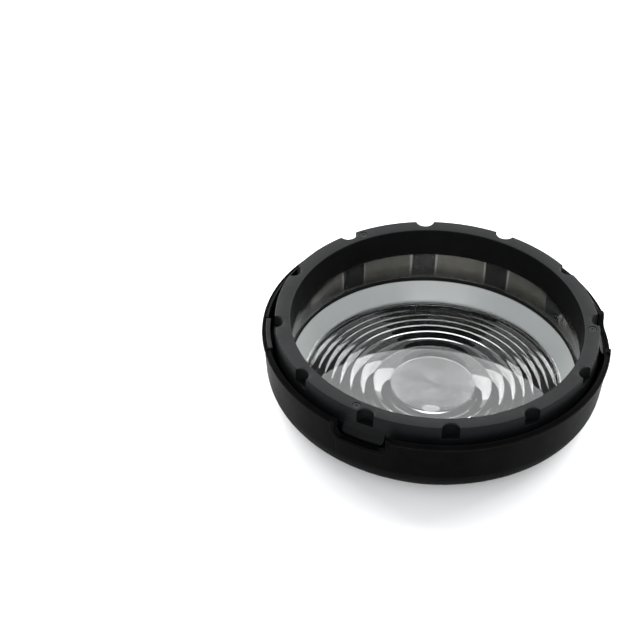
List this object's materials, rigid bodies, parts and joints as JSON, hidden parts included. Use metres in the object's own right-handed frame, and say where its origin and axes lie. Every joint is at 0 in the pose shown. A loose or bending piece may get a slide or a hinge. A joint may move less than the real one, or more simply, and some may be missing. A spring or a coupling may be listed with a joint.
{
  "type": "ring-mounted fresnel prism lens",
  "caption": "Round black lens unit: a clear Fresnel prism disc in a notched bezel cell that drops into a bowl-shaped holder ring and turns to lock.",
  "frame": {"origin": "on the optical axis, in the plane of the holder's base", "axes": "+Z along the optical axis out of the bezel's face; +X through the middle of the first entry window; the index key is on -X"},
  "size_m": [0.1, 0.1, 0.0255],
  "materials": {
    "holder_shell": "matte black moulded shell, fine texture",
    "key": "satin charcoal",
    "bezel": "satin charcoal face, matte black bore",
    "barrel": "matte black",
    "lug": "satin black",
    "smoked_sleeve": "smoked clear plastic, polished",
    "optic": "clear optical acrylic, polished",
    "seal_rubber": "black rubber",
    "spring_steel": "bright spring steel",
    "black_screw": "blackened steel"
  },
  "bodies": {
    "holder": {"holder_ring": "holder_shell", "index_key": "key", "leaf_spring_1": "spring_steel", "leaf_spring_2": "spring_steel", "leaf_spring_3": "spring_steel"},
    "lens_cell": {"front_bezel": "bezel", "lens_barrel": "barrel", "inner_sleeve": "smoked_sleeve", "front_lens_seal": "seal_rubber", "rear_lens_seal": "seal_rubber", "dust_seal": "seal_rubber", "fresnel_lens": "optic", "detent_plunger": "spring_steel", "detent_spring": "spring_steel", "guide_lug_1": "lug", "guide_lug_2": "lug", "guide_lug_3": "lug", "bezel_screw_1": "black_screw", "bezel_screw_2": "black_screw", "bezel_screw_3": "black_screw"}
  },
  "joints": [
    {"name": "cell_lock_turn", "type": "hinge", "parent": "holder", "child": "lens_cell", "pos_m": [0, 0, 0.0125], "axis": [0, 0, -1], "range_deg": [0, 20]}
  ]
}
